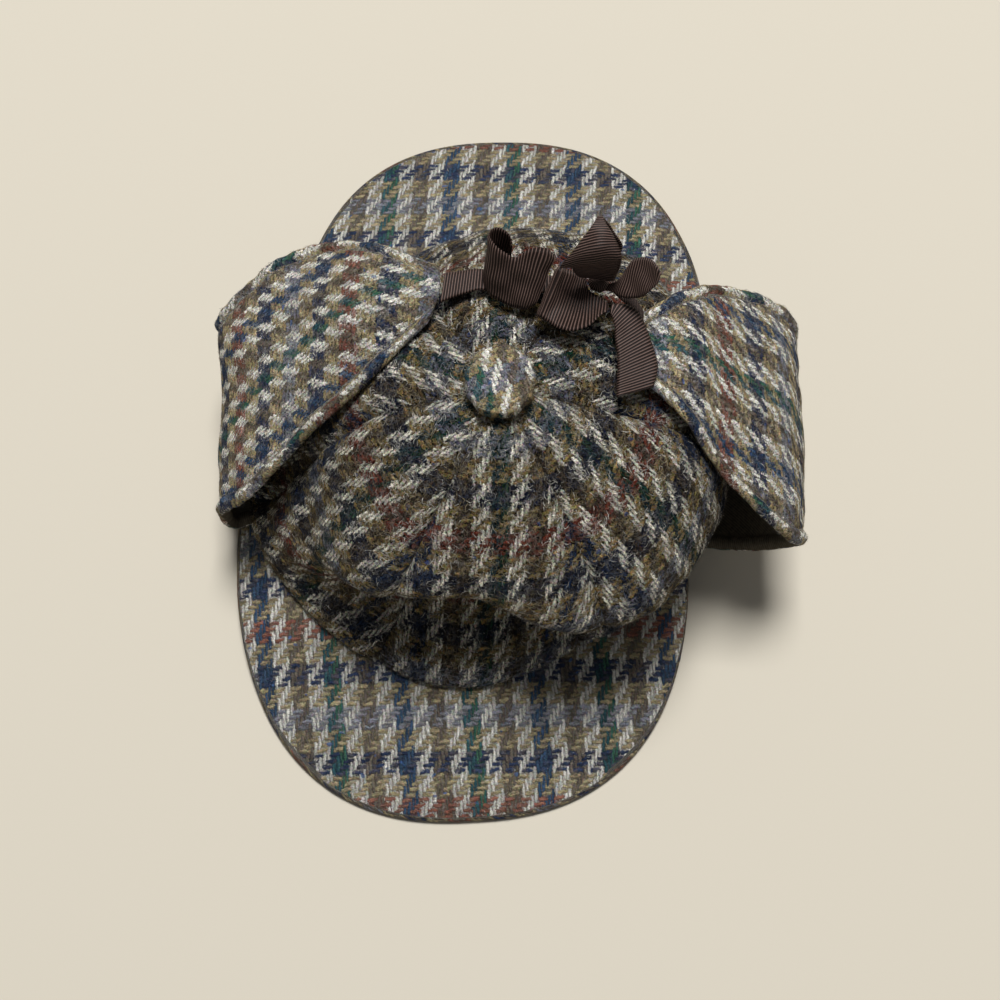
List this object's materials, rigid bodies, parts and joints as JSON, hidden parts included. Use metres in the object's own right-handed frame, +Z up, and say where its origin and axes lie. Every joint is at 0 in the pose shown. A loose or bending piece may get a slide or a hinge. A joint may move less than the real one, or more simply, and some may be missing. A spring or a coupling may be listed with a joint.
{
  "type": "deerstalker hat",
  "caption": "Soft checked tweed cap with a gored crown, a peak in front and behind, and ear flaps turned up and tied over the crown with a ribbon bow.",
  "frame": {"origin": "middle of the hat's footprint, on the surface it lies on", "axes": "+Z up, the front peak points to -Y, the rear peak to +Y, and the wearer's right flap lies at -X"},
  "size_m": [0.236, 0.3016, 0.146],
  "materials": {
    "tweed": "brushed wool tweed in a gun-club check",
    "ribbon": "dark brown grosgrain"
  },
  "bodies": {
    "root": {"crown_gore_rear": "tweed", "crown_gore_rear_left": "tweed", "crown_gore_front_left": "tweed", "crown_gore_front": "tweed", "crown_gore_front_right": "tweed", "crown_gore_rear_right": "tweed", "crown_button": "tweed", "front_peak": "tweed", "rear_peak": "tweed", "left_ear_flap": "tweed", "right_ear_flap": "tweed", "ribbon_left_tie": "ribbon", "ribbon_left_loop": "ribbon", "ribbon_centre_loop": "ribbon", "ribbon_top_loop": "ribbon", "ribbon_right_loop": "ribbon", "ribbon_right_tail": "ribbon", "ribbon_right_tie": "ribbon", "ribbon_knot": "ribbon"}
  },
  "joints": []
}
